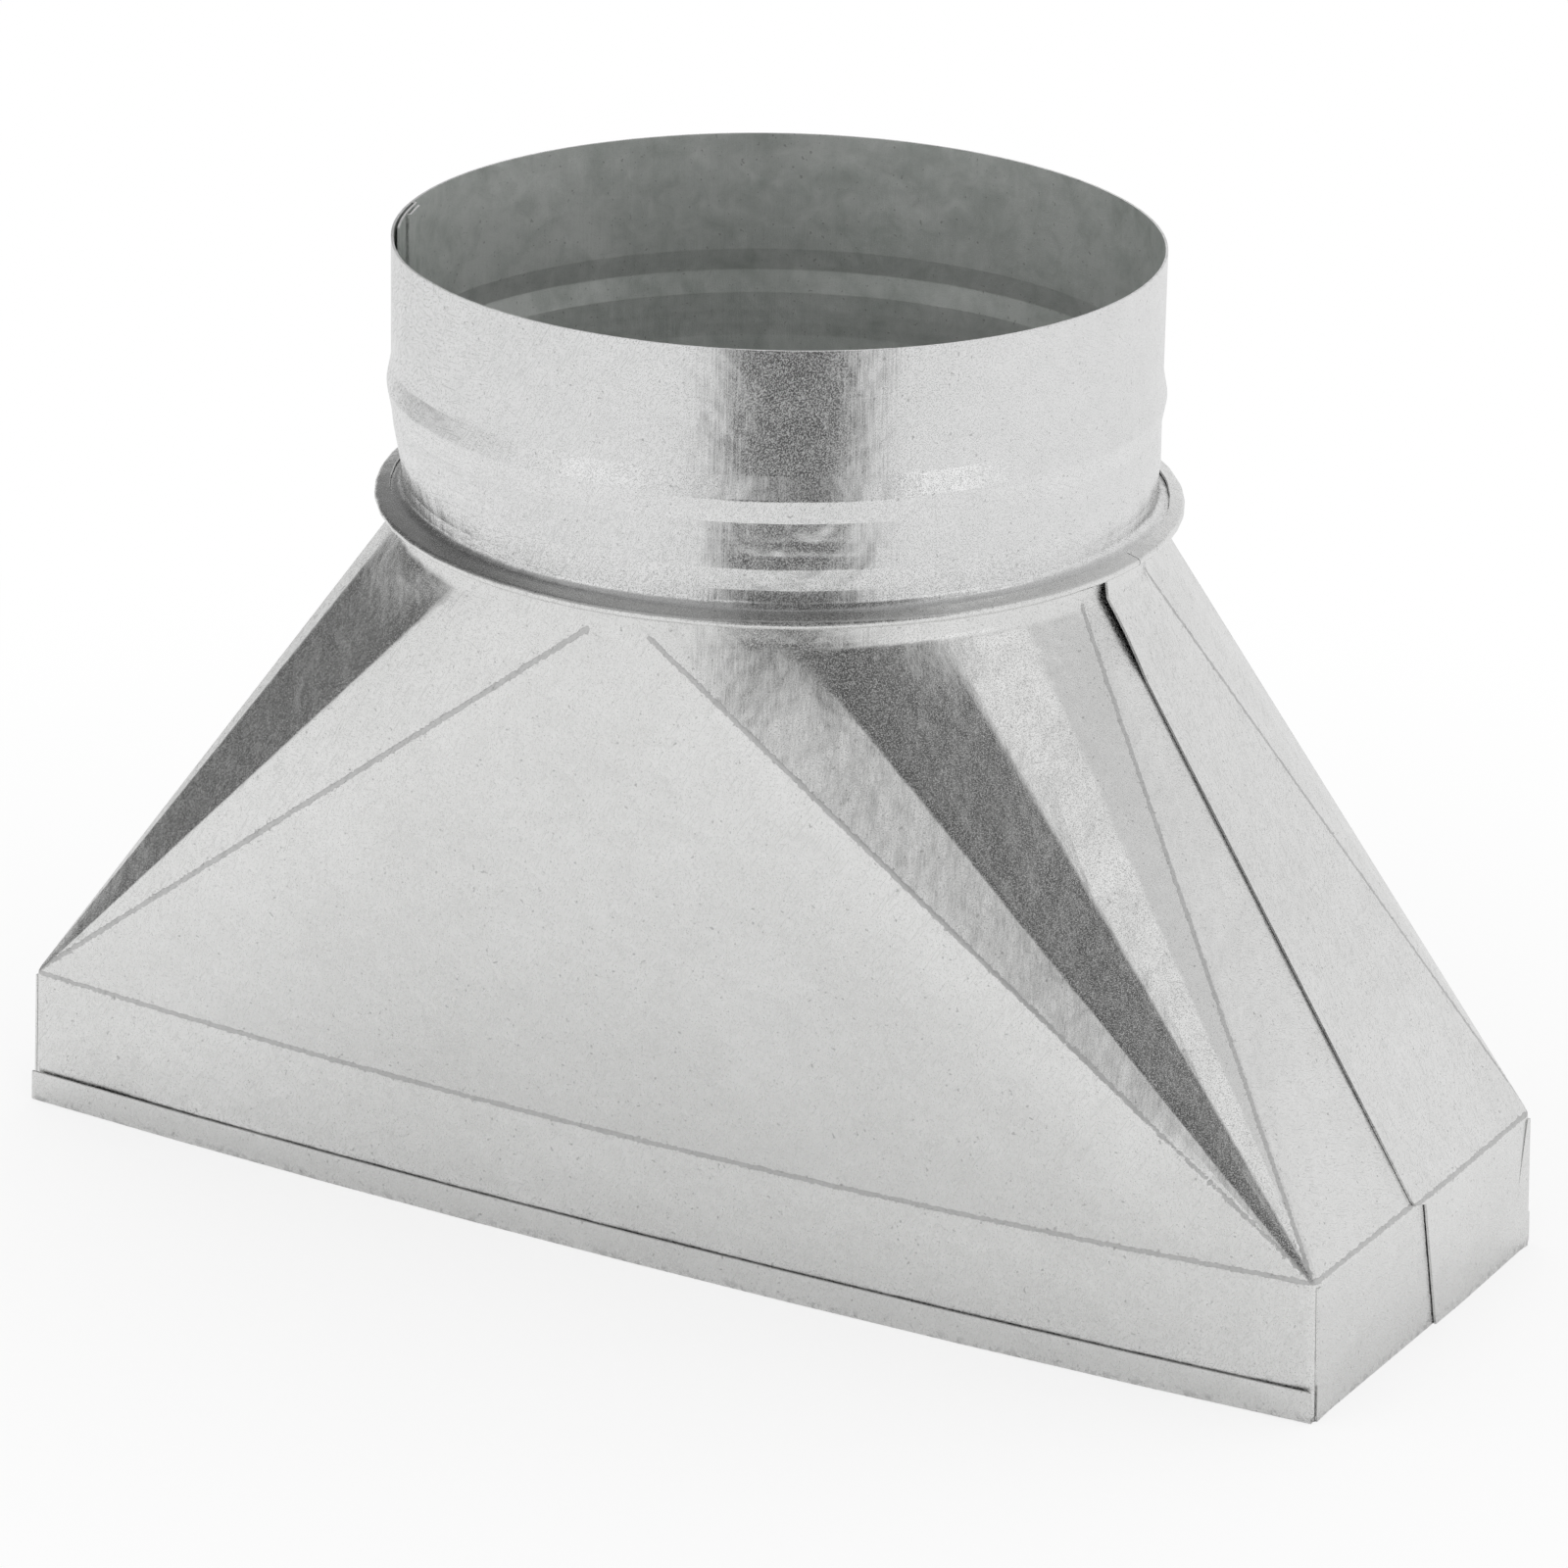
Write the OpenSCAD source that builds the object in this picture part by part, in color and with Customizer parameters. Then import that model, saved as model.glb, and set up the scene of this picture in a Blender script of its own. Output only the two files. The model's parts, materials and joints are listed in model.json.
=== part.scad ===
// Register boot: a folded sheet-metal duct fitting that leads a round collar
// into a long rectangular mouth. Two equal half bodies lap at the short ends,
// and their necks are hemmed over the flange of the collar.
// Millimetres, +Z up. The origin is the centre of the mouth, on its rim.

/* [Sheet] */
// Thickness of the sheet metal
sheet_t = 0.5; // [0.4:0.05:0.8]
// Gap left between sheets that lie on each other
sheet_gap = 0.2; // [0.15:0.05:0.3]

/* [Mouth] */
// Length of the rectangular mouth, measured outside at the fold
mouth_l = 302; // [260:1:360]
// Width of the rectangular mouth, measured outside at its corners
mouth_w = 101; // [90:1:130]
// Height of the straight band above the rim
band_h = 29.5; // [20:0.5:45]
// Bend radius at the four corners of the band
corner_r = 1.6; // [1.2:0.1:3]
// Bend radius where the band folds into the sloping panels
fold_r = 1.2; // [0.8:0.1:2]
// How far each end band leans out at the rim
end_flare = 1; // [0:0.25:2]
// How far the long bands bow outwards at the middle of their length
band_bow = 5; // [0:0.5:7]
// How far the fold of the long bands dips at the middle of its length
fold_dip = 2; // [0:0.5:4]

/* [Hem of the long bands] */
// Height of the strip that is folded outwards and up
hem_h = 6.8; // [4:0.1:10]
// Bend radius of the hem, at the middle of the sheet
hem_r = 0.5; // [0.45:0.05:0.8]

/* [Corner flaps] */
// Width at the rim of the flap at the corner before the inner lap
flap_w_right = 14; // [8:0.5:18]
// Width at the rim of the flap at the corner after the outer lap
flap_w_left = 9; // [6:0.5:18]
// Width of a flap at its apex, below the fold
flap_tip = 0.6; // [0.3:0.1:2]
// How far the free edge of a flap stands off the end band
flap_lift = 0.45; // [0.2:0.05:0.8]

/* [Sloping panels] */
// Height of the bend where the panels meet the straight neck
neck_z = 143.8; // [120:0.2:180]
// Length of the straight neck between that bend and the ring
neck_h = 5; // [4:0.2:8]
// Half the neck arc that the flat end panels take up, in degrees
end_flat_a = 10; // [9:0.5:14]
// First bend of the right corner along the neck, in degrees from the end
right_bend_1 = 22; // [16:0.5:28]
// Second bend of the right corner
right_bend_2 = 36; // [32:0.5:44]
// Third bend of the right corner
right_bend_3 = 57; // [48:0.5:66]
// Last bend of the right corner, beside the flat front panel
right_bend_4 = 79; // [70:0.5:86]
// First bend of the left corner along the neck, in degrees from the end
left_bend_1 = 22; // [16:0.5:28]
// Second bend of the left corner
left_bend_2 = 34.5; // [32:0.5:44]
// Third bend of the left corner
left_bend_3 = 64.5; // [50:0.5:76]
// Last bend of the left corner, beside the flat front panel
left_bend_4 = 91; // [80:0.5:92]
// Share of a panel's height that stays flat before it rounds into the neck
flat_share = 0.86; // [0.4:0.02:0.88]

/* [End seams] */
// How far the outer sheet laps past the middle of the end
lap_out = 6.5; // [4:0.5:8]
// How far the inner sheet runs on behind the outer one
lap_in = 10; // [6:0.5:10.5]
// How far the edge of the outer sheet is cut back at the fold
lap_notch = 5; // [1:0.5:6]
// How far the edge of the outer sheet is cut back at the rim
lap_cut = 11; // [6:0.5:12]
// How far the edge of the outer sheet springs off below the neck
lap_spring = 1; // [0:0.1:1.5]
// Height of the stretch below the ring over which it springs off
spring_h = 20; // [10:1:40]

/* [Neck ring] */
// Outer radius of the hemmed ring
ring_r = 82.2; // [81.4:0.1:86]
// Slope of the ring, falling outwards, in degrees
ring_slope = 15; // [8:1:20]
// Width of the ring's upper leaf, from the rim's bend to its cut edge
ring_leaf = 2.4; // [1.6:0.1:2.5]
// Bend radius between the neck and the ring, at the middle of the sheet
ring_bend_r = 1.2; // [0.8:0.1:1.6]
// How much wider than the collar the neck is, inside its sheet
neck_more = 0.05; // [0:0.05:0.3]

/* [Collar] */
// Outer radius of the round collar
collar_r = 77; // [74:0.1:77.4]
// Height of the collar above the ring's rim
collar_h = 53.8; // [45:0.2:80]
// Bend radius where the collar flares into its flange
flare_r = 2.8; // [2:0.1:3]
// Height of the bead's crest below the lip
bead_drop = 30; // [22:0.5:34]
// Width of the bead along the collar
bead_w = 9.6; // [6:0.2:14]
// How far the bead's crest stands out
bead_out = 0.9; // [0.4:0.1:1.5]
// Bend radius of the bead's crest, at the middle of the sheet
crest_r = 3.8; // [3.8:0.2:6]
// Width of the lock seam's pocket inside the collar
lock_w = 18; // [10:0.5:26]
// Width of the tongue folded back behind the pocket
lock_tongue = 8; // [5:0.5:9]
// Gap between the folded layers of the lock seam
lock_gap = 0.6; // [0.4:0.05:1]
// Angle at which the lock seam's fold stands
lock_a = 195; // [0:5:355]

/* [Hidden] */
$fn = 180;

// Largest step between two columns of a corner, in degrees along the neck
step_a = 7;
// Turn from a bend to the columns beside it, on the flats that it joins
beside_a = 1;
// Cells along a long side
long_n = 8;
// Shares of the band's height at which it has a row
band_rows = [0.35, 0.7];
// Share by which a bend's middle is drawn in from its knee
bend_pull = 0.3;
// Steps of a hem bend
hem_n = 4;
// Steps of the ring's rim
rim_n = 6;
// Steps of the bend below the ring
bend_n = 4;
// Steps of the bead's crest
crest_n = 4;
// Steps of the collar's flare
flare_n = 8;
// Share of the sheet that a flap's root is sunk into the band's end
root_share = 0.3;
// Share of the corner's radius that a flap reaches back around it
tuck_share = 0.4;
// Height of a flap's lower edge above the rim
flap_rise = 0.1;
// Clearance from a sheet's edge to the bend that it stops short of
edge_gap = 0.4;
// Flat strip beyond the edge of a lap
lap_more = 3;
// Share of its height by which a lap's spring runs on past the lap's top
spring_over = 0.1;
// Rows of a fold in the band and of the bend below the neck
fold_rows = 4;
neck_rows = 3;

// Rise from one sheet's middle to the next sheet's middle
layer = sheet_t + sheet_gap;
half_t = sheet_t / 2;
// Middle surface of the band
half_l = mouth_l / 2 - half_t;
half_w = mouth_w / 2 - half_t;
side_l = half_l - corner_r;
side_w = half_w - corner_r;
// Middle surfaces of the neck and of the collar
neck_r = collar_r + neck_more + half_t;
collar_mid = collar_r - half_t;
// Centre of the rim's bend, and the height of the collar's flange there
rim_r = layer;
rim_c = ring_r - half_t - rim_r;
rim_z = line_z(rim_c);
// Directions along the ring and across it
ring_e = [cos(ring_slope), -sin(ring_slope)];
ring_n = [sin(ring_slope), cos(ring_slope)];
// Top of the laps, just below the ring's bend
lap_top = neck_z + neck_h - edge_gap;
// End of the collar's flange, short of the rim's bend
flange_end = rim_c - edge_gap;
lip_z = rim_z + collar_h;

// Height of the collar flange's middle surface at radius r
function line_z(r) =
    neck_z + neck_h
    + (layer + ring_bend_r) / cos(ring_slope)
    - (r - neck_r - ring_bend_r) * tan(ring_slope);

// General helpers
function mix(a, b, f) = a + (b - a) * f;
function clamp01(f) = max(0, min(1, f));
function smooth(f) = let(g = clamp01(f)) g * g * (3 - 2 * g);
function unit(v) = v / norm(v);
function polar(r, a) = [r * cos(a), r * sin(a)];
function flat(list) = [for (part = list) each part];

// Columns from the bend at a to the bend at b: one close beside each bend, and
// equal steps no larger than step_a between those two, without the one at b
function steps(a, b) =
    let(
        from = a + beside_a,
        to = b - beside_a,
        n = ceil((to - from) / step_a)
    )
    concat([a], [for (k = [0:n]) mix(from, to, k / n)]);

// Bends of the half as angles along its neck, from the left end to the right
left_angles = [for (b = [end_flat_a, left_bend_1, left_bend_2, left_bend_3, left_bend_4]) 180 + b];
right_angles = [for (b = [right_bend_4, right_bend_3, right_bend_2, right_bend_1, end_flat_a]) 360 - b];
bend_angles = concat(left_angles, right_angles);

// The flat strip of an end that lies under or over the other half's lap
lap_flat = lap_in + lap_more;
// Neck angle from the middle of an end to a seam line or to that strip's edge
function seam_turn(y) = asin(y / neck_r);
lap_flat_turn = mix(seam_turn(lap_in), end_flat_a, 0.5);

// A column of the half: [foot, outward direction, neck angle, lap offset, y]
function left_column(y, a) = [[-half_l, y], [-1, 0], a, layer, y];
function right_column(y, a) = [[half_l, y], [1, 0], a, 0, -half_w];
function corner_column(side, a, f) =
    let(turn = (side < 0 ? 180 : 270) + 90 * f)
    [[side * side_l, -side_w] + polar(corner_r, turn), polar(1, turn), a, 0, -half_w];
function side_column(f) = [
    [mix(-side_l, side_l, f), -half_w],
    [0, -1],
    mix(180 + left_bend_4, 360 - right_bend_4, f),
    0,
    -half_w
];

// Neck angles of a corner's columns, from its first bend to its last
function corner_angles(bends) = concat(
    flat([for (k = [0:len(bends) - 2]) steps(bends[k], bends[k + 1])]),
    [bends[len(bends) - 1]]
);
left_corner = corner_angles(left_angles);
right_corner = corner_angles(right_angles);
function share(list, k) = (list[k] - list[0]) / (list[len(list) - 1] - list[0]);

// Edges of the ring stop short of the middle of the end
butt = sheet_gap / 2;
left_end = [
    left_column(lap_out, 180 - seam_turn(lap_out)),
    left_column(-butt, 180 + seam_turn(butt)),
    left_column(-lap_out, 180 + seam_turn(lap_out)),
    left_column(-lap_flat, 180 + lap_flat_turn)
];
right_end = [
    right_column(-lap_flat, 360 - lap_flat_turn),
    right_column(-lap_out, 360 - seam_turn(lap_out)),
    right_column(-butt, 360 - seam_turn(butt)),
    right_column(lap_in, 360 + seam_turn(lap_in))
];
columns = concat(
    left_end,
    [for (k = [0:len(left_corner) - 1]) corner_column(-1, left_corner[k], share(left_corner, k))],
    [for (k = [1:long_n - 1]) side_column(k / long_n)],
    [for (k = [0:len(right_corner) - 1]) corner_column(1, right_corner[k], share(right_corner, k))],
    right_end
);
col_n = len(columns);
hem_first = len(left_end) + len(left_corner) - 1;
hem_last = hem_first + long_n;

// How much of the bow a foot takes, from none at the corners to all midway
function bow_share(x) = max(0, 1 - pow(x / side_l, 2));

// Point of the neck that a column aims at: a chord between two bends that
// rounds out into the neck's circle as w goes from 0 to 1
function bend_before(a) = max([for (b = bend_angles) if (b <= a + 0.001) b]);
function bend_after(a) = min([for (b = bend_angles) if (b >= a - 0.001) b]);
function neck_point(a, r, w) =
    a < bend_angles[0] || a > bend_angles[len(bend_angles) - 1]
        ? polar(r, a)
        : let(
            p = bend_before(a),
            q = bend_after(a),
            chord = q - p < 0.01
                ? polar(r, a)
                : mix(polar(r, p), polar(r, q), (a - p) / (q - p))
        )
        mix(chord, polar(r, a), w);

function lift(p, z) = [p[0], p[1], z];

// Rows of the hem, from the leaf's free edge to the bottom of its bend
hem_rows = concat(
    [[2 * hem_r, hem_h]],
    [for (k = [0:hem_n - 1])
        let(turn = 180 * k / hem_n)
        [hem_r + hem_r * cos(turn), hem_r + half_t - hem_r * sin(turn)]]
);
band_row = len(hem_rows);

// Shares of a panel's height at which it has a row
panel_rows = concat(
    [for (s = [0.35, 0.7, 1]) s * flat_share],
    [for (s = [0.3, 0.6, 0.8]) mix(flat_share, 1, s)]
);

// The cut of the outer sheet's edge moves the feet as far in as this
cut_reach = half_w / 2;
// Cut of the outer sheet's edge: how far a foot moves back at a height
function cut_back(col, z) =
    let(part = clamp01((col[4] + cut_reach) / (lap_out + cut_reach)))
    z > band_h ? 0 : part * mix(lap_cut, lap_notch, clamp01(z / band_h));

// Foot of a column at a height of the band, pushed out by n
function foot(col, n, z) =
    let(
        x = col[0][0],
        bow = is_hem(col) ? band_bow * bow_share(x) : 0,
        p = col[0] + col[1] * (n + bow + col[3]),
        lean = end_flare * (1 - clamp01(z / band_h)) / half_l
    )
    [p[0] * (1 + lean), p[1] - cut_back(col, z), z];

// Foot of a column in the hem, whose ends reach round the corners' bends
function hem_foot(col, n, z) =
    let(p = foot(col, n, z))
    [p[0] * half_l / side_l, p[1], p[2]];

// How far the edge of a lap springs off its neighbour at a height
spring_z = lap_top - spring_h;
spring_end = lap_top + spring_over * spring_h;
function spring(col, z) =
    col[4] > 0 ? lap_spring * sin(180 * clamp01((z - spring_z) / (spring_end - spring_z))) : 0;
function sprung(col, p) = p - [spring(col, p[2]), 0, 0];

// Ring section as [radius, height] from the neck up, over the rim and inwards
function ring_path(r) =
    let(
        c = [r + ring_bend_r, line_z(r + ring_bend_r) - (layer + ring_bend_r) / cos(ring_slope)],
        rim = [rim_c, rim_z]
    )
    concat(
        [for (k = [0:bend_n])
            let(turn = (90 + ring_slope) * k / bend_n)
            c + ring_bend_r * [-cos(turn), sin(turn)]],
        [for (k = [0:rim_n])
            let(turn = 180 * k / rim_n)
            rim - rim_r * cos(turn) * ring_n + rim_r * sin(turn) * ring_e],
        [rim + rim_r * ring_n - ring_leaf * ring_e]
    );

// All points of one column, from the hem's free edge to the ring's cut edge
function column_points(col) =
    let(
        a = col[2],
        r = neck_r + col[3],
        bow = is_hem(col) ? bow_share(col[0][0]) : 0,
        fold_z = band_h - fold_dip * bow,
        low = foot(col, 0, fold_z - fold_r),
        base = foot(col, 0, fold_z) + [0, cut_back(col, fold_z), 0],
        top = lift(polar(r, a), neck_z),
        along = unit(top - base),
        high = base + along * fold_r,
        under = top - along * fold_r,
        over = top + [0, 0, fold_r],
        ring = ring_path(r)
    )
    concat(
        [for (h = hem_rows) hem_foot(col, h[0], h[1])],
        [foot(col, 0, is_hem(col) ? hem_r + half_t : 0)],
        [for (s = band_rows) foot(col, 0, s * band_h)],
        [low],
        [mix(base, (low + high) / 2, bend_pull)],
        [high],
        [for (s = panel_rows)
            let(rounding = smooth((s - flat_share) / (1 - flat_share)))
            sprung(col, mix(base, lift(neck_point(a, r, rounding), neck_z), s))],
        [for (p = [under, mix(top, (under + over) / 2, bend_pull), over]) sprung(col, p)],
        [sprung(col, lift(polar(r, a), lap_top))],
        [for (p = ring) lift(polar(p[0], a), p[1])]
    );

function is_hem(col) = col[1][1] == -1;

grid = [for (col = columns) column_points(col)];
row_n = len(grid[0]);
lap_row = band_row + len(band_rows) + fold_rows + len(panel_rows) + neck_rows;

// A column's first and last row of sheet
function first_row(j) = j >= hem_first && j <= hem_last ? 0 : band_row;
function last_row(j) = j == 0 || j == col_n - 1 ? lap_row : row_n - 1;
function here(i, j) = j >= 0 && j < col_n && i >= first_row(j) && i <= last_row(j);
function cell(i, j) = here(i, j) && here(i + 1, j) && here(i, j + 1) && here(i + 1, j + 1);

// Sheet's outward direction at a grid point
function sheet_n(i, j) =
    let(
        dj = grid[here(i, j + 1) ? j + 1 : j][i] - grid[here(i, j - 1) ? j - 1 : j][i],
        di = grid[j][here(i + 1, j) ? i + 1 : i] - grid[j][here(i - 1, j) ? i - 1 : i]
    )
    let(n = cross(dj, di))
    unit(i == first_row(j) && i == band_row ? [n[0], n[1], 0] : n);

// One half of the body as a closed sheet
module half_sheet() {
    outer = [for (j = [0:col_n - 1], i = [0:row_n - 1])
        here(i, j) ? grid[j][i] + half_t * sheet_n(i, j) : grid[j][i]];
    inner = [for (j = [0:col_n - 1], i = [0:row_n - 1])
        here(i, j) ? grid[j][i] - half_t * sheet_n(i, j) : grid[j][i]];
    back = len(outer);
    faces = [for (j = [0:col_n - 2], i = [0:row_n - 2])
        if (cell(i, j))
            let(
                a = j * row_n + i,
                b = a + row_n,
                c = b + 1,
                d = a + 1
            )
            each concat(
                [[a, d, c], [a, c, b], [a + back, b + back, c + back], [a + back, c + back, d + back]],
                cell(i - 1, j) ? [] : rim_faces(a, b, back),
                cell(i, j + 1) ? [] : rim_faces(b, c, back),
                cell(i + 1, j) ? [] : rim_faces(c, d, back),
                cell(i, j - 1) ? [] : rim_faces(d, a, back)
            )];
    polyhedron(concat(outer, inner), faces, convexity = 8);
}
function rim_faces(p, q, back) = [[p, q, q + back], [p, q + back, p + back]];

// Corner flap: the long band's end, wrapped over the leaning end band
module corner_flap(side, w) {
    root = root_share * sheet_t;
    tuck = tuck_share * corner_r;
    spread = atan((flap_lift + root) / w);
    lean = atan(end_flare / band_h);
    translate([side * (mouth_l / 2 - root), corner_r - mouth_w / 2, band_h])
        rotate([0, -side * lean, 0])
            rotate([90, 0, 90 + side * spread])
                translate([0, -band_h, side > 0 ? 0 : -sheet_t])
                    linear_extrude(sheet_t)
                        polygon([
                            [-tuck, flap_rise],
                            [w - corner_r, flap_rise],
                            [flap_tip, band_h - fold_r],
                            [-tuck, band_h - fold_r]
                        ]);
}

module half_body() {
    union() {
        half_sheet();
        corner_flap(1, flap_w_right);
        corner_flap(-1, flap_w_left);
    }
}

// Collar's middle surface as [radius, height], from the lip down to the flange
flare_z = line_z(collar_mid + flare_r) + flare_r / cos(ring_slope);
bead_z = lip_z - bead_drop;
// Slope of the bead's two faces, and where they meet its rounded crest
bead_a = atan(2 * bead_out / bead_w);
crest_x = collar_mid + bead_out - crest_r / cos(bead_a);
collar_path = concat(
    [[collar_mid, lip_z]],
    [[collar_mid, bead_z + bead_w / 2]],
    [for (k = [0:crest_n])
        [crest_x, bead_z] + polar(crest_r, bead_a * (1 - 2 * k / crest_n))],
    [[collar_mid, bead_z - bead_w / 2]],
    [for (k = [0:flare_n])
        let(turn = (90 - ring_slope) * k / flare_n)
        [collar_mid + flare_r * (1 - cos(turn)), flare_z - flare_r * sin(turn)]],
    [[flange_end, line_z(flange_end)]]
);

// The path moved sideways by d, outwards where d is positive
function path_n(path, k) =
    let(
        p = path[max(0, k - 1)],
        q = path[min(len(path) - 1, k + 1)],
        e = unit(q - p)
    )
    [-e[1], e[0]];
function moved(path, d) = [for (k = [0:len(path) - 1]) path[k] + d * path_n(path, k)];
function backwards(list) = [for (k = [len(list) - 1:-1:0]) list[k]];
function band_section(path, inside, outside) =
    concat(moved(path, outside), backwards(moved(path, inside)));

// A layer of the lock seam: the wall's section moved in, over an arc
module lock_layer(from, to, start, width) {
    path = [for (k = [0:len(collar_path) - 2 - flare_n]) collar_path[k]];
    arc = width / collar_r * 180 / PI;
    rotate([0, 0, lock_a + start / collar_r * 180 / PI])
        rotate_extrude(angle = arc)
            polygon(band_section(path, -to, -from));
}

module round_collar() {
    pocket = half_t + lock_gap;
    tongue = pocket + sheet_t + lock_gap;
    color("silver")
        union() {
            rotate_extrude()
                polygon(band_section(collar_path, -half_t, half_t));
            lock_layer(pocket, pocket + sheet_t, 0, lock_w);
            lock_layer(0, pocket + sheet_t, 0, sheet_t);
            lock_layer(tongue, tongue + sheet_t, 0, lock_tongue);
            lock_layer(pocket, tongue + sheet_t, lock_tongue - sheet_t, sheet_t);
        }
}

module body_front() {
    color("gainsboro")
        half_body();
}

module body_rear() {
    color("lightgray")
        rotate([0, 0, 180])
            half_body();
}

body_front();
body_rear();
round_collar();
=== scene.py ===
"""Finish of a galvanised register boot: a long mouth that narrows to a round collar."""

import json
import math

import bpy
from bpy.props import FloatProperty, FloatVectorProperty, IntProperty, PointerProperty
from mathutils import Matrix, Vector

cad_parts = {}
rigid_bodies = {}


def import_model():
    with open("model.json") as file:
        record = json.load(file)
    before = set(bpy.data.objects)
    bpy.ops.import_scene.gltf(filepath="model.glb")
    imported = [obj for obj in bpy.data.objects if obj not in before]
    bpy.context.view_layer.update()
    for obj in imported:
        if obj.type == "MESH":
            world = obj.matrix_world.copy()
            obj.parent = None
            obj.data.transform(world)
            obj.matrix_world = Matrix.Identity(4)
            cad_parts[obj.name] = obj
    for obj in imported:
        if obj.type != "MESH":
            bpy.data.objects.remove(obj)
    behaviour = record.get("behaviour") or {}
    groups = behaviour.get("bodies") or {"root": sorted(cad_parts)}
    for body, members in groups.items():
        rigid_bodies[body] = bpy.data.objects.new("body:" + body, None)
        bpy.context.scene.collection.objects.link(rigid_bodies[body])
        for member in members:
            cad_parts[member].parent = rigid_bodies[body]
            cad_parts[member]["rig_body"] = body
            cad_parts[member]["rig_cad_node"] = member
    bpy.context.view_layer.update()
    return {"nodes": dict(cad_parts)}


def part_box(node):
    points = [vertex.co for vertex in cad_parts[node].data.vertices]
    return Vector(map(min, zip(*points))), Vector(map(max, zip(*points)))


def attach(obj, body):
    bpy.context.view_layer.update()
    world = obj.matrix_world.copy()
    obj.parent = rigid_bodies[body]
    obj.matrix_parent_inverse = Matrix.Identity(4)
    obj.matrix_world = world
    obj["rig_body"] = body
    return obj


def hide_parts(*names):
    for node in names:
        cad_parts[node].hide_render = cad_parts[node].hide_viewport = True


bl_info = {
    "name": "Galvanised Register Boot",
    "version": (1, 0, 0),
    "blender": (4, 5, 0),
    "location": "3D View > Sidebar > Register Boot",
    "description": "Dresses a folded sheet steel register boot and sets it in a plain studio",
    "category": "Object",
}

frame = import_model()
MM = 0.001
ROOT = "root"


# Shader expressions


class Value:
    """A shader socket, or a plain number, that can be used in arithmetic."""

    def __init__(self, shader, source):
        self.shader = shader
        self.source = source

    def math(self, operation, *others, clamp=False):
        node = self.shader.tree.nodes.new("ShaderNodeMath")
        node.operation = operation
        node.use_clamp = clamp
        for socket, term in zip(node.inputs, (self, *others)):
            self.shader.feed(socket, term)
        return Value(self.shader, node.outputs[0])

    def __add__(self, other):
        return self.math("ADD", other)

    def __sub__(self, other):
        return self.math("SUBTRACT", other)

    def __rsub__(self, other):
        return Value(self.shader, other).math("SUBTRACT", self)

    def __mul__(self, other):
        return self.math("MULTIPLY", other)

    def __truediv__(self, other):
        return self.math("DIVIDE", other)

    __radd__ = __add__
    __rmul__ = __mul__

    def size(self):
        return self.math("ABSOLUTE")

    def highest(self, other):
        return self.math("MAXIMUM", other)

    def ramp(self, start, end):
        """0 up to start and 1 from end on, eased between them."""
        settings = {"interpolation_type": "SMOOTHSTEP", "clamp": True}
        sockets = {"Value": self, "From Min": start, "From Max": end}
        return self.shader.node("ShaderNodeMapRange", settings, sockets)

    def between(self, low, high, soft):
        """1 from low to high, with edges that fade over soft to both sides of each limit."""
        return self.ramp(low - soft, low + soft) * (1 - self.ramp(high - soft, high + soft))


class Shader:
    """Builds one node tree from expressions."""

    def __init__(self, tree):
        self.tree = tree
        tree.nodes.clear()

    def feed(self, socket, term):
        if isinstance(term, Value):
            term = term.source
        if isinstance(term, bpy.types.NodeSocket):
            self.tree.links.new(term, socket)
        elif isinstance(term, (tuple, list)) and len(term) == 3 and socket.type == "RGBA":
            socket.default_value = (*term, 1.0)
        else:
            socket.default_value = term

    def node(self, kind, settings=None, sockets=None, output=0):
        made = self.tree.nodes.new(kind)
        for name, setting in (settings or {}).items():
            setattr(made, name, setting)
        for name, term in (sockets or {}).items():
            self.feed(made.inputs[name], term)
        return Value(self, made.outputs[output])

    def place(self):
        """Object coordinates, in metres."""
        return self.node("ShaderNodeTexCoord", output="Object")

    def turned(self, vector, turn, scale=(1.0, 1.0, 1.0)):
        """The vector turned, and then stretched along the new axes."""
        settings = {"vector_type": "POINT"}
        first = self.node("ShaderNodeMapping", settings, {"Vector": vector, "Rotation": turn})
        if scale == (1.0, 1.0, 1.0):
            return first
        return self.node("ShaderNodeMapping", settings, {"Vector": first, "Scale": scale})

    def split(self, vector):
        made = self.tree.nodes.new("ShaderNodeSeparateXYZ")
        self.feed(made.inputs[0], vector)
        return [Value(self, made.outputs[axis]) for axis in "XYZ"]

    def joined(self, x, y, z):
        return self.node("ShaderNodeCombineXYZ", None, {"X": x, "Y": y, "Z": z})

    def vector(self, operation, *terms):
        made = self.tree.nodes.new("ShaderNodeVectorMath")
        made.operation = operation
        for socket, term in zip(made.inputs, terms):
            self.feed(socket, term)
        numbers = operation in ("DOT_PRODUCT", "LENGTH", "DISTANCE")
        return Value(self, made.outputs["Value" if numbers else "Vector"])

    def noise(self, vector, grain, detail=2.0, rough=0.5, warp=0.0):
        """Noise whose blots are about as wide as grain, in metres."""
        sockets = {"Vector": vector, "Scale": 1 / grain, "Detail": detail}
        sockets.update({"Roughness": rough, "Distortion": warp})
        return self.node("ShaderNodeTexNoise", None, sockets)

    def mix(self, factor, first, second):
        made = self.tree.nodes.new("ShaderNodeMix")
        made.data_type = "RGBA"
        self.feed(made.inputs["Factor"], factor)
        colors = [socket for socket in made.inputs if socket.type == "RGBA"]
        self.feed(colors[0], first)
        self.feed(colors[1], second)
        return Value(self, [socket for socket in made.outputs if socket.type == "RGBA"][0])

    def output(self, kind, surface):
        self.feed(self.tree.nodes.new(kind).inputs["Surface"], surface)


def new_shader(name):
    material = bpy.data.materials.new(name)
    material.use_nodes = True
    return material, Shader(material.node_tree)


# Marks on the zinc


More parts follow.
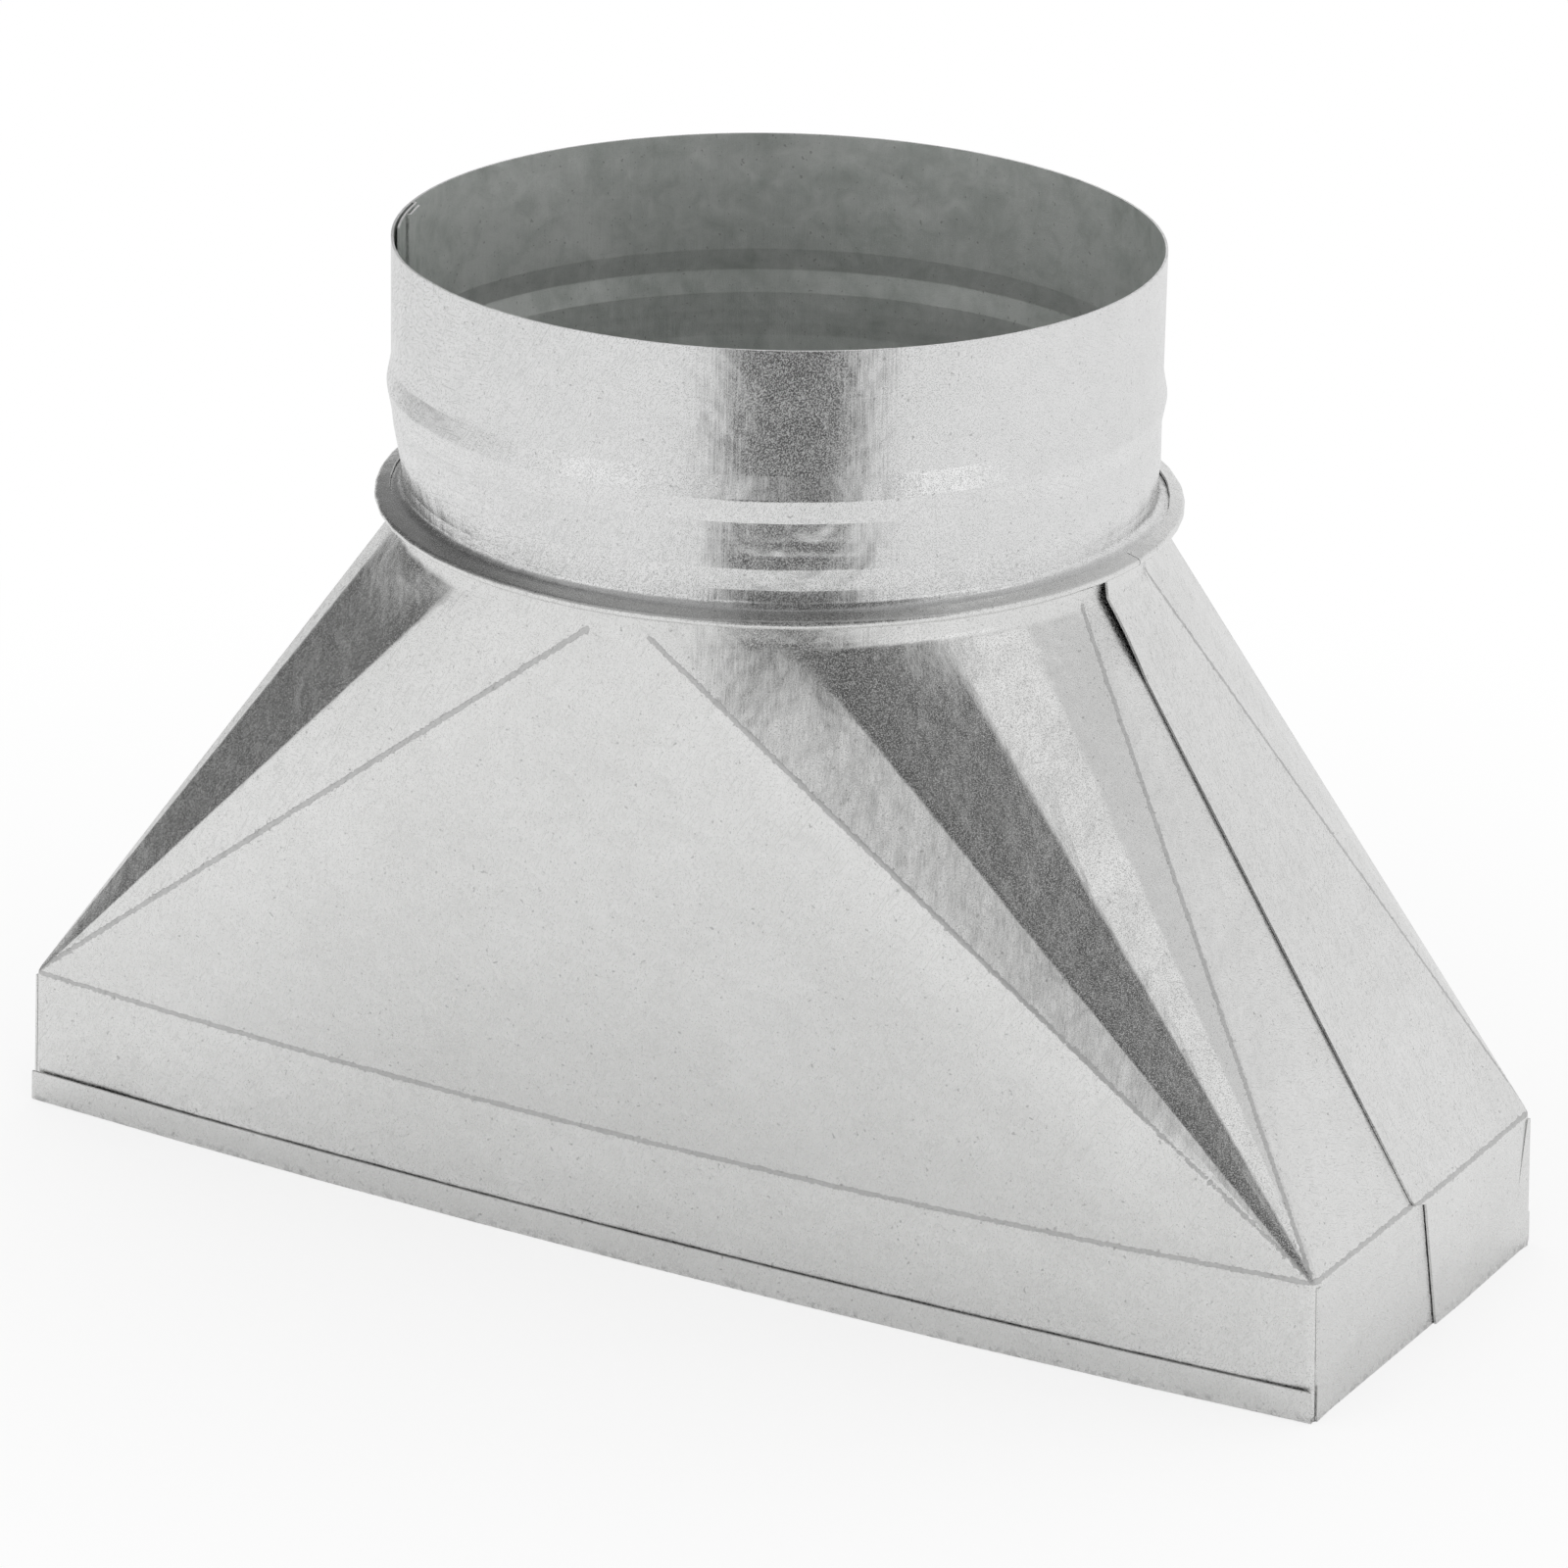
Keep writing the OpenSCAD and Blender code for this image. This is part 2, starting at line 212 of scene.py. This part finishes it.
def hairlines(shader, place, turn, length, width, share):
    """Short thin marks that run one way: 1 on a mark and 0 off it."""
    scale = (1 / length, 1 / width, 1 / width)
    lines = shader.node("ShaderNodeTexNoise", None, {"Vector": shader.turned(place, turn, scale), "Scale": 1.0, "Detail": 0.0})
    return lines.ramp(1 - share, 1.03 - share)


def line_distance(shader, place, start, end):
    """Distance in metres from a straight line between two points."""
    start, end = Vector(start), Vector(end)
    run = end - start
    away = shader.vector("SUBTRACT", place, tuple(start))
    along = shader.vector("DOT_PRODUCT", away, tuple(run / run.length_squared))
    along = along.math("MAXIMUM", 0.0).math("MINIMUM", 1.0)
    foot = shader.node("ShaderNodeVectorMath", {"operation": "SCALE"}, {0: tuple(run), "Scale": along})
    return shader.vector("DISTANCE", away, foot)


def cracked(shader, place, distance, width, share):
    """Flakes of zinc beside a bend, thickest on its line and gone at twice the width."""
    flakes = shader.noise(place, 0.0011, detail=3.0, rough=0.7)
    near = 1 - distance.ramp(0.0, width)
    return (flakes + near * 0.45).ramp(1.06 - share, 1.12 - share) * (1 - distance.ramp(width, 2 * width))


# Finishes


def zinc_sheet(name, look, cracks=None, turn=0.0):
    """Zinc coated sheet: pale and satin, cloudy, brushed up the sheet, pitted and scratched."""
    material, shader = new_shader(name)
    place = shader.turned(shader.place(), (0.0, 0.0, turn))
    cloud = shader.noise(place, 0.035, detail=4.0, rough=0.6)
    blotch = shader.noise(place, 0.006, detail=4.0, rough=0.65, warp=0.4)
    grain = shader.noise(place, 0.0005, detail=2.0, rough=0.7)
    brushed = shader.noise(shader.turned(place, (0.0, 0.0, 0.0), (1.0, 1.0, 0.06)), 0.0006, detail=2.0)
    pits = shader.noise(place, 0.0009, detail=1.0).ramp(0.70, 0.76)
    marks = hairlines(shader, place, (0.3, 0.5, 0.9), 0.006, 0.00022, look.scratch)
    for tilt in ((1.2, -0.4, 0.2), (-0.7, 0.9, -0.5), (0.1, -1.1, 1.9)):
        marks = marks.highest(hairlines(shader, place, tilt, 0.005, 0.0002, look.scratch))
    tint = tuple(look.tint)
    worn = (cloud - 0.5) * look.cloudy + (blotch - 0.5) * look.cloudy + 0.3
    color = shader.mix(worn, tint, tuple(look.stain))
    color = shader.mix(pits * 0.5, color, tuple(0.35 * part for part in tint))
    color = shader.mix(marks * 0.10, color, tuple(0.6 * part for part in tint))
    rough = (cloud - 0.5) * 0.08 + (blotch - 0.5) * 0.10 + (grain - 0.5) * 0.16 + look.rough + marks * 0.22
    height = grain * 0.25 + blotch * 0.4 + brushed * 0.5 + marks * 0.25
    if cracks:
        flaked = cracks(shader, place)
        color = shader.mix(flaked * 0.5, color, tuple(0.5 * part for part in tint))
        rough = rough + flaked * 0.2
        height = height + flaked * 1.5
    waves = shader.node(
        "ShaderNodeBump", None, {"Strength": 1.0, "Distance": 0.0012, "Height": cloud}
    )
    bump = shader.node(
        "ShaderNodeBump",
        None,
        {"Strength": 1.0, "Distance": 0.00006, "Height": height, "Normal": waves},
    )
    sockets = {"Base Color": color, "Metallic": look.metal, "Roughness": rough, "Normal": bump}
    shader.output("ShaderNodeOutputMaterial", shader.node("ShaderNodeBsdfPrincipled", None, sockets))
    return material


# Meshes


def alone(piece):
    """Only this piece is selected and active."""
    bpy.ops.object.select_all(action="DESELECT")
    piece.hide_set(False)
    piece.select_set(True)
    bpy.context.view_layer.objects.active = piece


def merged_copy(node_name, name):
    """A copy of a CAD node with its loose triangles joined into one skin."""
    alone(frame["nodes"][node_name])
    bpy.ops.object.duplicate()
    piece = bpy.context.view_layer.objects.active
    piece.name = name
    bpy.ops.object.parent_clear(type="CLEAR_KEEP_TRANSFORM")
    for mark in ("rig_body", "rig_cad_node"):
        if mark in piece:
            del piece[mark]
    bpy.ops.mesh.customdata_custom_splitnormals_clear()
    bpy.ops.object.mode_set(mode="EDIT")
    bpy.ops.mesh.select_all(action="SELECT")
    bpy.ops.mesh.remove_doubles(threshold=MERGE_WITHIN)
    bpy.ops.mesh.tris_convert_to_quads(face_threshold=math.radians(6), shape_threshold=math.radians(179))
    bpy.ops.object.mode_set(mode="OBJECT")
    return piece


def drawn_line(name, points):
    """A line drawn by extruding one vertex from point to point."""
    bpy.ops.object.select_all(action="DESELECT")
    bpy.ops.mesh.primitive_plane_add(size=MM)
    piece = bpy.context.object
    piece.name = name
    bpy.ops.object.mode_set(mode="EDIT")
    bpy.ops.mesh.merge(type="CENTER")
    bpy.ops.transform.translate(value=points[0])
    for here, after in zip(points, points[1:]):
        step = tuple(Vector(after) - Vector(here))
        bpy.ops.mesh.extrude_vertices_move(TRANSFORM_OT_translate={"value": step})
    bpy.ops.object.mode_set(mode="OBJECT")
    return piece


def thickened(piece, thickness):
    """Gives a single skin the thickness of the sheet, half to each side."""
    alone(piece)
    modifier = piece.modifiers.new("sheet", "SOLIDIFY")
    modifier.thickness = thickness
    modifier.offset = 0.0
    modifier.use_even_offset = True
    bpy.ops.object.modifier_apply(modifier=modifier.name)


def rounded_corners(corners, steps):
    """A line through corners (radius, height, bend radius), with an arc at each bend."""
    points = []
    for index, (radius, height, bend) in enumerate(corners):
        spot = Vector((radius, height))
        if not bend:
            points.append(spot)
            continue
        back = (Vector(corners[index - 1][:2]) - spot).normalized()
        ahead = (Vector(corners[index + 1][:2]) - spot).normalized()
        half = back.angle(ahead) / 2
        center = spot + (back + ahead).normalized() * bend / math.sin(half)
        first = spot + back * bend / math.tan(half) - center
        last = spot + ahead * bend / math.tan(half) - center
        sweep = first.angle_signed(last)
        for step in range(steps + 1):
            points.append(center + Matrix.Rotation(-sweep * step / steps, 2) @ first)
    return points


MERGE_WITHIN = 2e-6


def dress(piece, node_name, materials):
    """Puts the finish on a piece and lets it stand for its CAD node."""
    piece.data.materials.clear()
    for material in materials:
        piece.data.materials.append(material)
    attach(piece, ROOT)
    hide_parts(node_name)


# Settings


def finish_settings(tint, stain, rough, metal, cloudy, scratch):
    """The properties that describe the finish of one kind of sheet."""
    percent = {"subtype": "FACTOR", "min": 0.0, "max": 1.0}
    color = {"subtype": "COLOR", "size": 3, "min": 0.0, "max": 1.0}
    return {
        "tint": FloatVectorProperty(name="Zinc", description="Colour of the clean zinc", default=tint, **color),
        "stain": FloatVectorProperty(name="Stain", description="Colour of the dull patches", default=stain, **color),
        "rough": FloatProperty(name="Roughness", description="How satin the sheet is", default=rough, **percent),
        "metal": FloatProperty(name="Metal", description="How much the zinc mirrors", default=metal, **percent),
        "cloudy": FloatProperty(name="Cloudiness", description="Contrast of the patches", default=cloudy),
        "scratch": FloatProperty(name="Scratches", description="Share of hairlines", default=scratch, **percent),
    }


class BodyFinish(bpy.types.PropertyGroup):
    __annotations__ = finish_settings((0.86, 0.86, 0.855), (0.74, 0.74, 0.73), 0.25, 1.0, 0.7, 0.29)


class CollarFinish(bpy.types.PropertyGroup):
    __annotations__ = finish_settings((0.86, 0.86, 0.86), (0.74, 0.745, 0.74), 0.22, 1.0, 0.7, 0.31)


class InsideFinish(bpy.types.PropertyGroup):
    __annotations__ = finish_settings((0.78, 0.80, 0.78), (0.46, 0.50, 0.47), 0.48, 0.72, 1.6, 0.28)


class CollarShape(bpy.types.PropertyGroup):
    radius: FloatProperty(
        name="Radius", description="Middle of the collar's sheet", subtype="DISTANCE", default=76.75 * MM
    )
    sheet: FloatProperty(name="Sheet", description="Thickness of the sheet", subtype="DISTANCE", default=0.5 * MM)
    bead_out: FloatProperty(
        name="Bead", description="How far the bead stands out", subtype="DISTANCE", default=0.9 * MM
    )
    waist: FloatProperty(
        name="Waist", description="How far the foot of the collar draws in", subtype="DISTANCE", default=0.45 * MM
    )
    bulge: FloatProperty(
        name="Bulge", description="How far the collar is pushed out at its seam", subtype="DISTANCE", default=1.8 * MM
    )
    seam_angle: FloatProperty(
        name="Seam", description="Place of the lock seam round the collar", subtype="ANGLE", default=math.radians(195)
    )
    steps: IntProperty(name="Steps", description="Faces round the collar", default=288, min=24)


class BootStudio(bpy.types.PropertyGroup):
    azimuth: FloatProperty(
        name="Camera Azimuth",
        description="Turn of the camera round the boot from the long side",
        subtype="ANGLE",
        default=math.radians(29.378),
    )
    elevation: FloatProperty(
        name="Camera Elevation", description="Height of the camera as an angle", subtype="ANGLE", default=math.radians(20.652)
    )
    roll: FloatProperty(
        name="Camera Roll", description="Turn about the line of sight", subtype="ANGLE", default=math.radians(1.107)
    )
    distance: FloatProperty(
        name="Camera Distance", description="From the camera to the boot", subtype="DISTANCE", default=1.5616
    )
    lens: FloatProperty(name="Lens", description="Focal length in millimetres", default=170.65)
    aim_side: FloatProperty(
        name="Aim Sideways", description="How far right of the boot's middle it looks", subtype="DISTANCE", default=0.003579
    )
    aim_up: FloatProperty(
        name="Aim Up", description="How far above the boot's foot it looks", subtype="DISTANCE", default=0.08099
    )
    floor_radius: FloatProperty(
        name="Floor Radius", description="Radius of the round floor", subtype="DISTANCE", default=0.42
    )


# Body sheets

# Corner of the mouth at the fold, and the neck that the panels lead to
CORNER = Vector((150.9, -50.4, 29.5)) * MM
NECK_RADIUS = 77.55 * MM
NECK_HEIGHT = 143.8 * MM
# Half length of the long band and how far its fold dips midway
BAND_REACH = 149.15 * MM
BAND_DIP = 2.0 * MM
# Neck angles of the bends whose zinc has flaked, for the left and the right corner
FLAKED_BENDS = ((-1, 190), (-1, 271), (1, 281), (1, 350))


def body_cracks(shader, place):
    """Flaked zinc along the bends of the panels and along the fold of the band."""
    x, _, z = shader.split(place)
    fold = (z - CORNER.z + (1 - (x / BAND_REACH) * (x / BAND_REACH)) * BAND_DIP).size()
    flaked = cracked(shader, place, fold, 0.0009, 0.40)
    for side, degrees in FLAKED_BENDS:
        angle = math.radians(degrees)
        foot = (side * CORNER.x, CORNER.y, CORNER.z)
        top = (NECK_RADIUS * math.cos(angle), NECK_RADIUS * math.sin(angle), NECK_HEIGHT)
        flaked = flaked.highest(cracked(shader, place, line_distance(shader, place, foot, top), 0.0009, 0.42))
    # Darker, rougher patches in the bottom 3 mm of the sheet, next to the floor
    foot_patches = (1 - z.ramp(0.0005, 0.003)) * shader.noise(place, 0.002, detail=4.0, rough=0.7).ramp(0.5, 0.62)
    return flaked.highest(foot_patches * 0.8)


class OBJECT_OT_boot_body(bpy.types.Operator):
    """Dress the two folded body sheets"""

    bl_idname = "object.boot_body"
    bl_label = "Body Sheets"

    def execute(self, context):
        look = context.scene.boot_body_finish
        halves = (("body_front", "front_sheet", 0.0), ("body_rear", "rear_sheet", math.pi))
        for node_name, name, turn in halves:
            zinc = zinc_sheet(name + "_zinc", look, body_cracks, turn)
            piece = merged_copy(node_name, name)
            bpy.ops.object.shade_smooth_by_angle(angle=SOFT_BEND)
            dress(piece, node_name, [zinc])
        return {"FINISHED"}


SOFT_BEND = math.radians(38)


# Collar


def collar_path(shape):
    """The wall from its lip down over the bead, the rolled lines and the waist to its flange."""
    low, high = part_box("round_collar")
    wall, lip, foot = shape.radius, high.z, low.z
    bead, half = lip - 30 * MM, 4.8 * MM
    slope = math.tan(math.radians(15))
    flange_end, flange_top = 80.85 * MM, foot + 0.26 * MM
    corners = [(wall, lip, 0), (wall, lip - 12 * MM, 0)]
    corners += [(wall, bead + half, 0.8 * MM), (wall + shape.bead_out, bead, 1.6 * MM)]
    corners += [(wall, bead - half, 0.8 * MM)]
    for line in (bead - 8.6 * MM, bead - 11.6 * MM):
        corners += [(wall, line + 0.4 * MM, 0), (wall - 0.03 * MM, line, 0), (wall, line - 0.4 * MM, 0)]
    waist = wall - shape.waist
    corners += [(wall, bead - 14.2 * MM, 3 * MM), (waist, bead - 18.6 * MM, 1 * MM)]
    corners += [(waist, flange_top + slope * (flange_end - waist), 2.4 * MM), (flange_end, flange_top, 0)]
    return rounded_corners(corners, 5)


def push_out(shape, piece):
    """Pushes the collar out of round at its seam and along a crease, down to the waist."""
    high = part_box("round_collar")[1].z
    for vertex in piece.data.vertices:
        angle = math.atan2(vertex.co.y, vertex.co.x) % (2 * math.pi)
        reach = smooth((vertex.co.z - (high - 48 * MM)) / (14 * MM))
        away = abs(angle - shape.seam_angle - math.radians(14)) / math.radians(75)
        crease = 1 - abs(angle - shape.seam_angle - math.radians(31)) / math.radians(12)
        back = 1 - abs(angle - math.radians(75)) / math.radians(60)
        move = shape.bulge * smooth(1 - away) + 0.3 * MM * max(0.0, crease) - 1.2 * MM * smooth(back)
        radius = math.hypot(vertex.co.x, vertex.co.y)
        vertex.co.xy *= 1 + move * reach / radius


def smooth(share):
    share = min(1.0, max(0.0, share))
    return share * share * (3 - 2 * share)


def lock_layer(shape, name, path, outline):
    """One folded layer of the lock seam: its plan, drawn at the lip and led down the wall."""
    points = []
    for inset, degrees in outline:
        angle = shape.seam_angle + math.radians(degrees)
        radius = path[0].x - inset * MM
        points.append((radius * math.cos(angle), radius * math.sin(angle), path[0].y))
    piece = drawn_line(name, points)
    bpy.ops.object.mode_set(mode="EDIT")
    bpy.ops.mesh.select_all(action="SELECT")
    for here, after in zip(path, path[1:]):
        bpy.ops.mesh.extrude_region_move(TRANSFORM_OT_translate={"value": (0, 0, after.y - here.y)})
        grow = after.x / here.x
        bpy.ops.transform.resize(value=(grow, grow, 1), center_override=(0, 0, after.y))
    bpy.ops.object.mode_set(mode="OBJECT")
    thickened(piece, shape.sheet)
    return piece


class OBJECT_OT_boot_collar(bpy.types.Operator):
    """Model the round collar with its bead and lock seam, and dress it"""

    bl_idname = "object.boot_collar"
    bl_label = "Collar"

    def execute(self, context):
        scene = context.scene
        shape = scene.boot_collar_shape
        path = collar_path(shape)
        piece = drawn_line("collar", [(point.x, 0, point.y) for point in path])
        bpy.ops.object.mode_set(mode="EDIT")
        bpy.ops.mesh.select_all(action="SELECT")
        bpy.ops.mesh.spin(steps=shape.steps, angle=2 * math.pi, center=(0, 0, 0), axis=(0, 0, 1))
        bpy.ops.mesh.select_all(action="SELECT")
        bpy.ops.mesh.remove_doubles(threshold=MERGE_WITHIN)
        bpy.ops.mesh.normals_make_consistent(inside=False)
        bpy.ops.object.mode_set(mode="OBJECT")
        thickened(piece, shape.sheet)
        wall = [point for point in path if point.y > path[-1].y + 6 * MM]
        fold = [(0.3, 0.0), (0.7, -0.35), (1.1, 0.0)] + [(1.1, 1.5 * k) for k in range(1, 10)]
        tongue = [(1.4, 6.1), (1.9, 6.3), (2.2, 6.0)] + [(2.2, 6.0 - 1.2 * k) for k in range(1, 5)]
        layers = [lock_layer(shape, "fold", wall, fold), lock_layer(shape, "tongue", wall, tongue)]
        alone(piece)
        for layer in layers:
            layer.select_set(True)
        bpy.ops.object.join()
        push_out(shape, piece)
        bpy.ops.object.mode_set(mode="EDIT")
        bpy.ops.mesh.select_all(action="SELECT")
        bpy.ops.mesh.normals_make_consistent(inside=False)
        bpy.ops.object.mode_set(mode="OBJECT")
        bpy.ops.object.shade_smooth_by_angle(angle=SOFT_BEND)
        outside = zinc_sheet("collar_zinc", scene.boot_collar_finish)
        inside = zinc_sheet("collar_inside_zinc", scene.boot_inside_finish)
        dress(piece, "round_collar", [outside, inside])
        for face in piece.data.polygons:
            if face.normal.xy.dot(face.center.xy.normalized()) < -0.3:
                face.material_index = 1
        return {"FINISHED"}


# Studio

# What the metal mirrors: name, azimuths and elevations seen from the boot with the camera
# at 0, the softness of both edges in degrees, and the brightness there
ROOM = (
    ("upper left wall", -180, -10, 18, 90, 8, 8, 0.42),
    ("upper right wall", -10, 180, 24, 90, 8, 12, 0.56),
    ("ceiling", -200, 200, 62, 90, 5, 12, 0.36),
    ("left rear wall", -175, -92, 3, 90, 10, 6, 0.20),
    ("left window", -68, -40, -2, 7, 8, 4, 1.05),
    ("right window", 38, 64, -4, 7, 8, 4, 1.12),
    ("right lamp", 58, 86, 26, 42, 6, 4, 1.02),
    ("right rear wall", 88, 108, 22, 36, 6, 5, 0.66),
    ("dark rear corner", -152, -112, -7, 60, 10, 5, 0.10),
    ("dark front below", -17, 24, -60, -1, 8, 3, 0.07),
    ("dark front level", -5, 18, -5, 9, 8, 3, 0.07),
    ("dark front above", -15, 43, 9, 80, 10, 4, 0.08),
)
ROOM_LIGHT = 0.85


class OBJECT_OT_boot_stage(bpy.types.Operator):
    """Set up the camera, the pale floor and the soft studio light"""

    bl_idname = "object.boot_stage"
    bl_label = "Stage"

    def execute(self, context):
        studio = context.scene.boot_studio
        place_camera(studio)
        lay_floor(studio)
        light_studio(studio)
        return {"FINISHED"}


def place_camera(studio):
    flat = math.cos(studio.elevation)
    sine, cosine = math.sin(studio.azimuth), math.cos(studio.azimuth)
    back = Vector((sine * flat, -cosine * flat, math.sin(studio.elevation)))
    right = Vector((cosine, sine, 0))
    up = back.cross(right)
    side = right * math.cos(studio.roll) + up * math.sin(studio.roll)
    top = up * math.cos(studio.roll) - right * math.sin(studio.roll)
    bpy.ops.object.select_all(action="DESELECT")
    bpy.ops.object.camera_add(location=side * studio.aim_side + top * studio.aim_up + back * studio.distance)
    camera = bpy.context.object
    camera.name = "camera"
    camera.rotation_euler = Matrix((side, top, back)).transposed().to_euler()
    camera.data.sensor_width = 36.0
    camera.data.lens = studio.lens
    camera.data.clip_start = 0.05
    bpy.context.scene.camera = camera


def lay_floor(studio):
    """A pale round floor that fades into the white beyond its edge."""
    bpy.ops.object.select_all(action="DESELECT")
    bpy.ops.mesh.primitive_circle_add(vertices=128, radius=studio.floor_radius, fill_type="NGON")
    floor = bpy.context.object
    floor.name = "floor"
    material, shader = new_shader("pale_floor")
    x, y, _ = shader.split(shader.place())
    radius = (x * x + y * y).math("SQRT")
    lit = shader.node("ShaderNodeBsdfDiffuse", None, {"Color": (0.9, 0.9, 0.9)})
    white = shader.node("ShaderNodeEmission", None, {"Color": (1.0, 1.0, 1.0), "Strength": 1.0})
    seen = shader.node("ShaderNodeLightPath", output="Is Camera Ray")
    fade = radius.ramp(0.12, studio.floor_radius) * 0.25 + 0.75
    surface = shader.node("ShaderNodeMixShader", None, {0: seen * fade, 1: lit, 2: white})
    shader.output("ShaderNodeOutputMaterial", surface)
    floor.data.materials.append(material)


def light_studio(studio):
    """White soft light all round, and the darker parts of the room that the metal mirrors."""
    scene = bpy.context.scene
    scene.view_settings.view_transform = "Standard"
    world = bpy.data.worlds.new("studio")
    scene.world = world
    world.use_nodes = True
    world.cycles.sampling_method = "NONE"
    shader = Shader(world.node_tree)
    x, y, z = shader.split(shader.node("ShaderNodeTexCoord", output="Generated"))
    sine, cosine = math.sin(studio.azimuth), math.cos(studio.azimuth)
    around = (x * cosine + y * sine).math("ARCTAN2", x * sine - y * cosine) * math.degrees(1)
    height = z.math("ARCSINE") * math.degrees(1)
    level = Value(shader, ROOM_LIGHT) * 1.0
    for _, left, right, low, high, side_soft, edge_soft, bright in ROOM:
        here = around.between(left, right, side_soft) * height.between(low, high, edge_soft)
        level = level * (1 - here) + here * bright
    mirrored = shader.node("ShaderNodeLightPath", output="Is Glossy Ray")
    color = shader.mix(mirrored, (1.0, 1.0, 1.0), shader.joined(level, level, level))
    light = shader.node("ShaderNodeBackground", None, {"Color": color, "Strength": 1.0})
    shader.output("ShaderNodeOutputWorld", light)


# Add-on

GROUPS = {
    "boot_body_finish": ("Body", BodyFinish),
    "boot_collar_finish": ("Collar", CollarFinish),
    "boot_inside_finish": ("Inside of the Collar", InsideFinish),
    "boot_collar_shape": ("Collar Shape", CollarShape),
    "boot_studio": ("Studio", BootStudio),
}


class VIEW3D_PT_register_boot(bpy.types.Panel):
    """Sizes, finish and studio of the register boot"""

    bl_label = "Register Boot"
    bl_idname = "VIEW3D_PT_register_boot"
    bl_space_type = "VIEW_3D"
    bl_region_type = "UI"
    bl_category = "Register Boot"

    def draw(self, context):
        for name, (title, group) in GROUPS.items():
            box = self.layout.box()
            box.label(text=title)
            for setting in group.__annotations__:
                box.prop(getattr(context.scene, name), setting)
        for step in STEPS:
            self.layout.operator(step.bl_idname)


STEPS = (OBJECT_OT_boot_stage, OBJECT_OT_boot_body, OBJECT_OT_boot_collar)
CLASSES = (*(group for _, group in GROUPS.values()), *STEPS, VIEW3D_PT_register_boot)


def register():
    for made in CLASSES:
        bpy.utils.register_class(made)
    for name, (_, group) in GROUPS.items():
        setattr(bpy.types.Scene, name, PointerProperty(type=group))


def unregister():
    for name in GROUPS:
        delattr(bpy.types.Scene, name)
    for made in reversed(CLASSES):
        bpy.utils.unregister_class(made)


def main():
    register()
    bpy.ops.object.boot_stage()
    bpy.ops.object.boot_body()
    bpy.ops.object.boot_collar()


if __name__ == "__main__":
    main()
